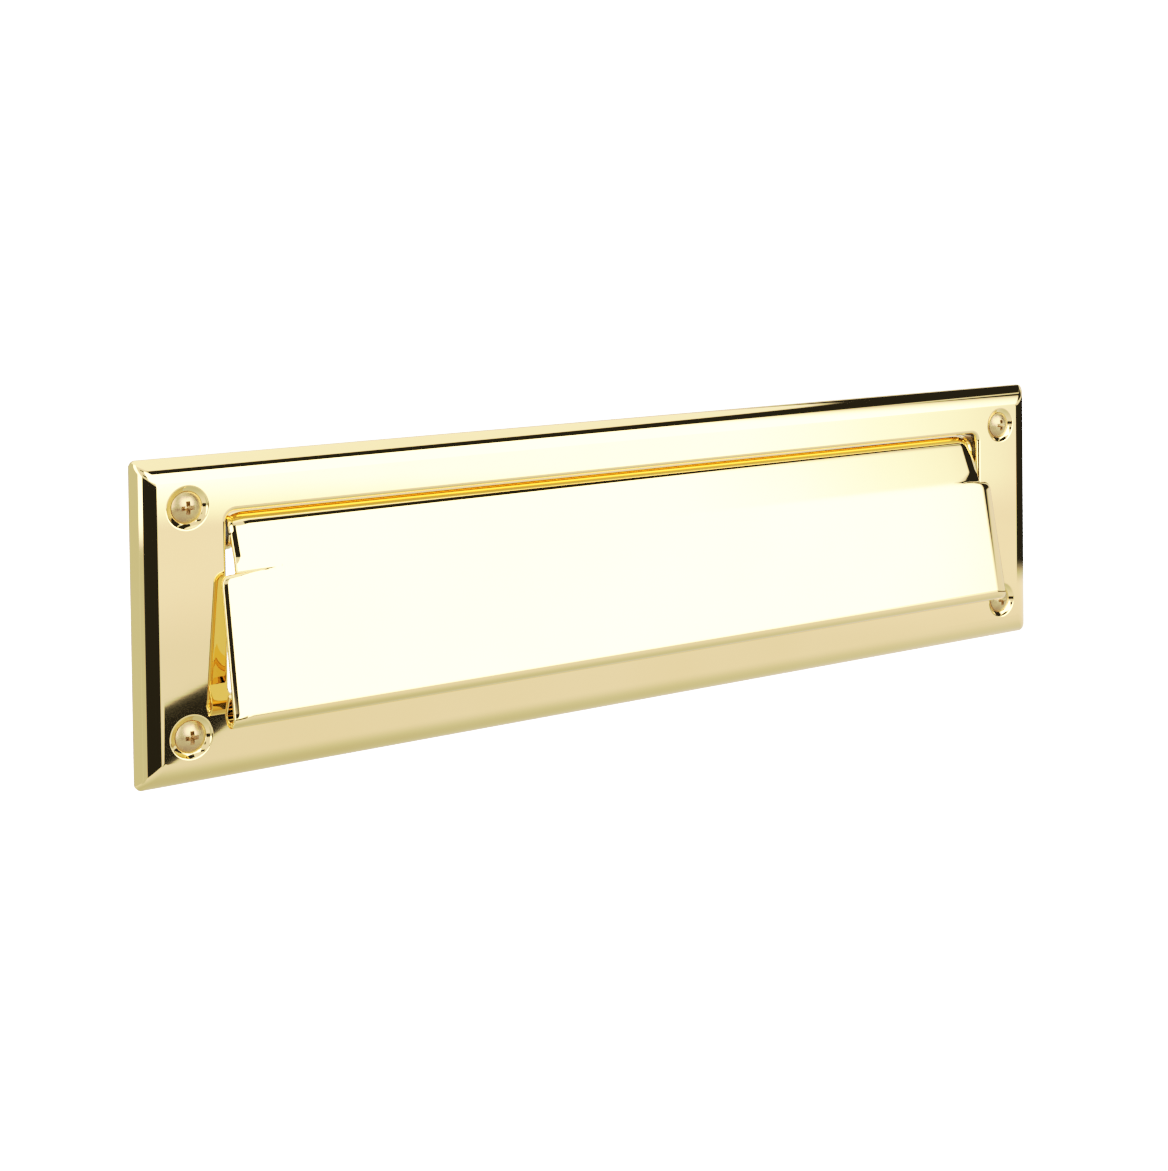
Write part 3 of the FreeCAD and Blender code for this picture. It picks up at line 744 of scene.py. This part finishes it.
def make_spring(side, out):
    """Torsion spring: tang into the rod, five turns, and a leg behind the flap's roll."""
    inner = COIL_OUTER_X - COIL_TURNS * COIL_PITCH
    sweep = 2 * math.pi * COIL_TURNS + COIL_LEAN

    def place(angle, radius, along):
        return Vector((
            out * (inner + along), AXIS_Y + radius * math.cos(angle), AXIS_Z + radius * math.sin(angle)
        ))

    points = [place(0, 0.2 + (COIL_RADIUS - 0.7) * step / 3, 0) for step in range(4)]
    points.append(place(0.05, COIL_RADIUS - 0.16, 0.0))
    count = 150
    for step in range(1, count):
        angle = sweep * step / count
        points.append(place(angle, COIL_RADIUS, COIL_PITCH * angle / (2 * math.pi)))
    finish = COIL_PITCH * sweep / (2 * math.pi)
    for radius in (COIL_RADIUS + 0.16, COIL_RADIUS + 0.6, 4.6, LEG_REACH):
        points.append(place(sweep, radius, finish))
    work = bmesh.new()
    tube(work, points, WIRE_RADIUS)
    spring = finish_mesh(f"spring_{side}", work)
    give(spring, WIRE)
    return spring


BUMPER_X, BUMPER_Z, BUMPER_REACH = 137.0, -26.4, 4.42


def make_bumper(side, out):
    """Moulded button with a domed top and a small dimple."""
    top = -PLATE_THICK - BUMPER_REACH
    profile = [
        (0.0, -PLATE_THICK), (2.2, -PLATE_THICK), (2.38, -PLATE_THICK - 0.2),
        (2.4, -PLATE_THICK - 0.6), (2.36, top + 0.9), (2.22, top + 0.42), (1.9, top + 0.14),
        (1.4, top + 0.02), (1.0, top), (0.62, top + 0.06), (0.34, top + 0.2), (0.0, top + 0.26),
    ]
    work = bmesh.new()
    turned(work, profile, (out * BUMPER_X, 0, BUMPER_Z), steps=40)
    button = finish_mesh(f"bumper_{side}", work, crease=60)
    give(button, RUBBER)
    return button


# -------------------------------------------------------------------------------- assembly


def place_pieces():
    plate = make_plate()
    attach(plate, "plate")
    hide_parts("front_plate")
    flap = make_flap()
    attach(flap, "flap")
    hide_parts("flap")
    for side, out in SIDES.items():
        ear = make_ear(side, out)
        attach(ear, "flap")
        spring = make_spring(side, out)
        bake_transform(spring)
        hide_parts(f"return_spring_{side}")
        button = make_bumper(side, out)
        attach(button, "plate")
        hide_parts(f"flap_bumper_{side}")
        for height, up in HEIGHTS.items():
            screw = make_wall_screw(f"{height}_{side}", out, up)
            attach(screw, "plate")
            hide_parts(f"mounting_screw_{height}_{side}")
    finishes = {
        "hinge_rod": STEEL, "hinge_block": CAST, "block_screw": STEEL, "hinge_bush": NYLON,
        "retaining_clip": WIRE,
    }
    for name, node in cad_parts.items():
        for start, material in finishes.items():
            if name.startswith(start):
                give(node, material)


# ---------------------------------------------------------------------------------- studio


class Studio:
    """World light as panels by direction: azimuth from the front to the right, and elevation."""

    def __init__(self):
        world = bpy.data.worlds.new("studio")
        bpy.context.scene.world = world
        world.use_nodes = True
        self.tree = world.node_tree
        self.tree.nodes.clear()
        coordinates = self.tree.nodes.new("ShaderNodeTexCoord").outputs["Generated"]
        split = self.tree.nodes.new("ShaderNodeSeparateXYZ")
        self.tree.links.new(coordinates, split.inputs[0])
        x, y, z = split.outputs
        front = self.math("MULTIPLY", y, -1.0)
        self.azimuth = self.math("DEGREES", self.math("ARCTAN2", x, front))
        self.elevation = self.math("DEGREES", self.math("ARCSINE", z))
        self.level = 1.35

    def math(self, operation, first, second=None):
        node = self.tree.nodes.new("ShaderNodeMath")
        node.operation = operation
        for socket, value in zip(node.inputs, (first, second)):
            if isinstance(value, bpy.types.NodeSocket):
                self.tree.links.new(value, socket)
            elif value is not None:
                socket.default_value = value
        return node.outputs[0]

    def step(self, value, middle, soft, rising=True):
        node = self.tree.nodes.new("ShaderNodeMapRange")
        node.interpolation_type = "SMOOTHSTEP"
        self.tree.links.new(value, node.inputs["Value"])
        ends = (middle - soft, middle + soft)
        node.inputs["From Min"].default_value, node.inputs["From Max"].default_value = ends
        node.inputs["To Min"].default_value = 0.0 if rising else 1.0
        node.inputs["To Max"].default_value = 1.0 if rising else 0.0
        return node.outputs[0]

    def lay(self, weight, value):
        """Cover what is there with a new level, by weight."""
        node = self.tree.nodes.new("ShaderNodeMix")
        self.tree.links.new(weight, node.inputs[0])
        if isinstance(self.level, bpy.types.NodeSocket):
            self.tree.links.new(self.level, node.inputs[2])
        else:
            node.inputs[2].default_value = self.level
        node.inputs[3].default_value = value
        self.level = node.outputs[0]

    def panel(self, azimuth, elevation, value, soft=2.0, fade=None):
        """An upright panel; its right side may fade over a wider angle than the others."""
        weight = self.math(
            "MULTIPLY",
            self.math(
                "MULTIPLY", self.step(self.azimuth, azimuth[0], soft),
                self.step(self.azimuth, azimuth[1], fade or soft, False),
            ),
            self.math(
                "MULTIPLY", self.step(self.elevation, elevation[0], soft),
                self.step(self.elevation, elevation[1], soft, False),
            ),
        )
        self.lay(weight, value)

    def oval(self, centre, radii, lean, value, soft=0.1):
        """A leaning oval; the lean is in degrees of elevation for each degree of azimuth."""
        aside = self.math("SUBTRACT", self.azimuth, centre[0])
        raised = self.math("SUBTRACT", self.elevation, self.math("MULTIPLY", aside, lean))
        across = self.math("DIVIDE", aside, radii[0])
        along = self.math("DIVIDE", self.math("SUBTRACT", raised, centre[1]), radii[1])
        away = self.math(
            "SQRT", self.math("ADD", self.math("POWER", across, 2.0), self.math("POWER", along, 2.0))
        )
        self.lay(self.step(away, 1.0, soft, False), value)

    def finish(self, backdrop):
        """Light by the panels, but show a plain backdrop where the camera sees past the object."""
        shown = self.tree.nodes.new("ShaderNodeLightPath").outputs["Is Camera Ray"]
        self.lay(shown, backdrop)
        background = self.tree.nodes.new("ShaderNodeBackground")
        background.inputs["Color"].default_value = (1, 1, 1, 1)
        self.tree.links.new(self.level, background.inputs["Strength"])
        output = self.tree.nodes.new("ShaderNodeOutputWorld")
        self.tree.links.new(background.outputs[0], output.inputs[0])


DARK = 0.02


def light_studio():
    """White room seen in the brass, with the dark gaps between its screens."""
    studio = Studio()
    # pale floor, and the bright screen in front with a dimmer strip under it
    studio.panel((-400, 400), (-100, -44), 0.73, soft=28)
    studio.panel((8, 400), (-12, -8.7), 1.6, soft=1.2)
    studio.panel((8, 42), (-8.7, 2), 5.0, soft=0.8, fade=6)
    studio.panel((-14, 46), (0, 36.2), 6.0, soft=0.8, fade=7)
    # ceiling, the dark gap under it on the right, and the grey wall and lit strip on the left
    studio.panel((-400, 400), (50.5, 100), 2.0, soft=0.8)
    studio.panel((15, 112), (36.4, 50.5), DARK, soft=0.6)
    studio.panel((-400, -62), (-30, 54), 0.83, soft=3)
    studio.panel((-62, -46), (-40, -9.5), 0.83, soft=1)
    studio.panel((-62, -46), (-9.5, 54), 5.0, soft=0.6)
    # dark gaps in, below and beside the screens
    studio.panel((-46, 8), (-17.5, -6.5), DARK, soft=0.5)
    studio.panel((-30, -14), (6, 15), DARK, soft=1.0)
    studio.panel((-30, -12), (31, 38), DARK, soft=1.0)
    studio.oval((18.0, -16.2), (6.0, 0.9), 0.5, DARK, soft=0.04)
    studio.panel((46.7, 140), (-11, -4), DARK, soft=0.4)
    studio.panel((53, 84), (4, 34), DARK, soft=1.0)
    studio.finish(4.0)


FLOOR_Z, FLOOR_RADII = -750, (500, 2000, 6000)


def make_floor():
    work = bmesh.new()
    turns = [math.pi * step / 24 for step in range(48)]
    rings = [
        add_ring(work, [
            Vector((radius * math.cos(turn), radius * math.sin(turn), FLOOR_Z)) for turn in turns
        ])
        for radius in FLOOR_RADII
    ]
    bridge_all(work, rings)
    work.faces.new(rings[0])
    floor = finish_mesh("floor", work)
    give(floor, floor_finish())
    floor.visible_glossy = False


def add_overhead():
    """Wide soft light from above that whitens the floor and lifts the matt pieces."""
    data = bpy.data.lights.new("overhead", "SUN")
    data.energy = 12.0
    data.angle = math.radians(90)
    lamp = bpy.data.objects.new("overhead", data)
    bpy.context.scene.collection.objects.link(lamp)
    lamp.rotation_euler = (math.radians(-15), 0, 0)
    lamp.visible_glossy = False
    lamp.visible_camera = False


CAMERA_PLACE, CAMERA_LENS, CAMERA_SENSOR = (-332.08, -490.18, 111.77), 58.227, 36.0
CAMERA_YAW, CAMERA_PITCH, CAMERA_ROLL, CAMERA_SHIFT = 0.56691, 0.02522, 0.01278, -0.2865


def place_camera():
    """Camera at the front left, a little above the plate, shifted to leave it room below."""
    yaw, pitch, roll = CAMERA_YAW, CAMERA_PITCH, CAMERA_ROLL
    level = math.cos(pitch)
    ahead = Vector((math.sin(yaw) * level, math.cos(yaw) * level, -math.sin(pitch)))
    right = Vector((math.cos(yaw), -math.sin(yaw), 0))
    down = ahead.cross(right).normalized()
    if down.z > 0:
        down = -down
    across = right * math.cos(roll) + down * math.sin(roll)
    below = down * math.cos(roll) - right * math.sin(roll)
    turn = Matrix((across, -below, -ahead)).transposed().to_4x4()
    data = bpy.data.cameras.new("camera")
    camera = link("camera", data)
    camera.matrix_world = Matrix.Translation(Vector(CAMERA_PLACE) * MM) @ turn
    data.lens = CAMERA_LENS
    data.sensor_width = CAMERA_SENSOR
    data.shift_y = CAMERA_SHIFT
    data.clip_start = 0.01
    data.clip_end = 50.0
    bpy.context.scene.camera = camera


def set_exposure_curve():
    """Camera response: straight in the shadows, then a long shoulder up to white."""
    view = bpy.context.scene.view_settings
    view.view_transform = "Standard"
    view.look = "None"
    view.use_curve_mapping = True
    brightest = 3.4
    together = 3  # the curve that acts on all three channels
    mapping = view.curve_mapping
    mapping.white_level = (brightest, brightest, brightest)
    shoulder = (
        (0.25, 0.25), (0.5, 0.48), (0.9, 0.655), (1.15, 0.755), (1.4, 0.845), (1.95, 0.94), (2.5, 0.98)
    )
    curve = mapping.curves[together]
    for light, shown in shoulder:
        curve.points.new(light / brightest, shown)
    mapping.update()


place_pieces()
light_studio()
make_floor()
add_overhead()
place_camera()
set_exposure_curve()
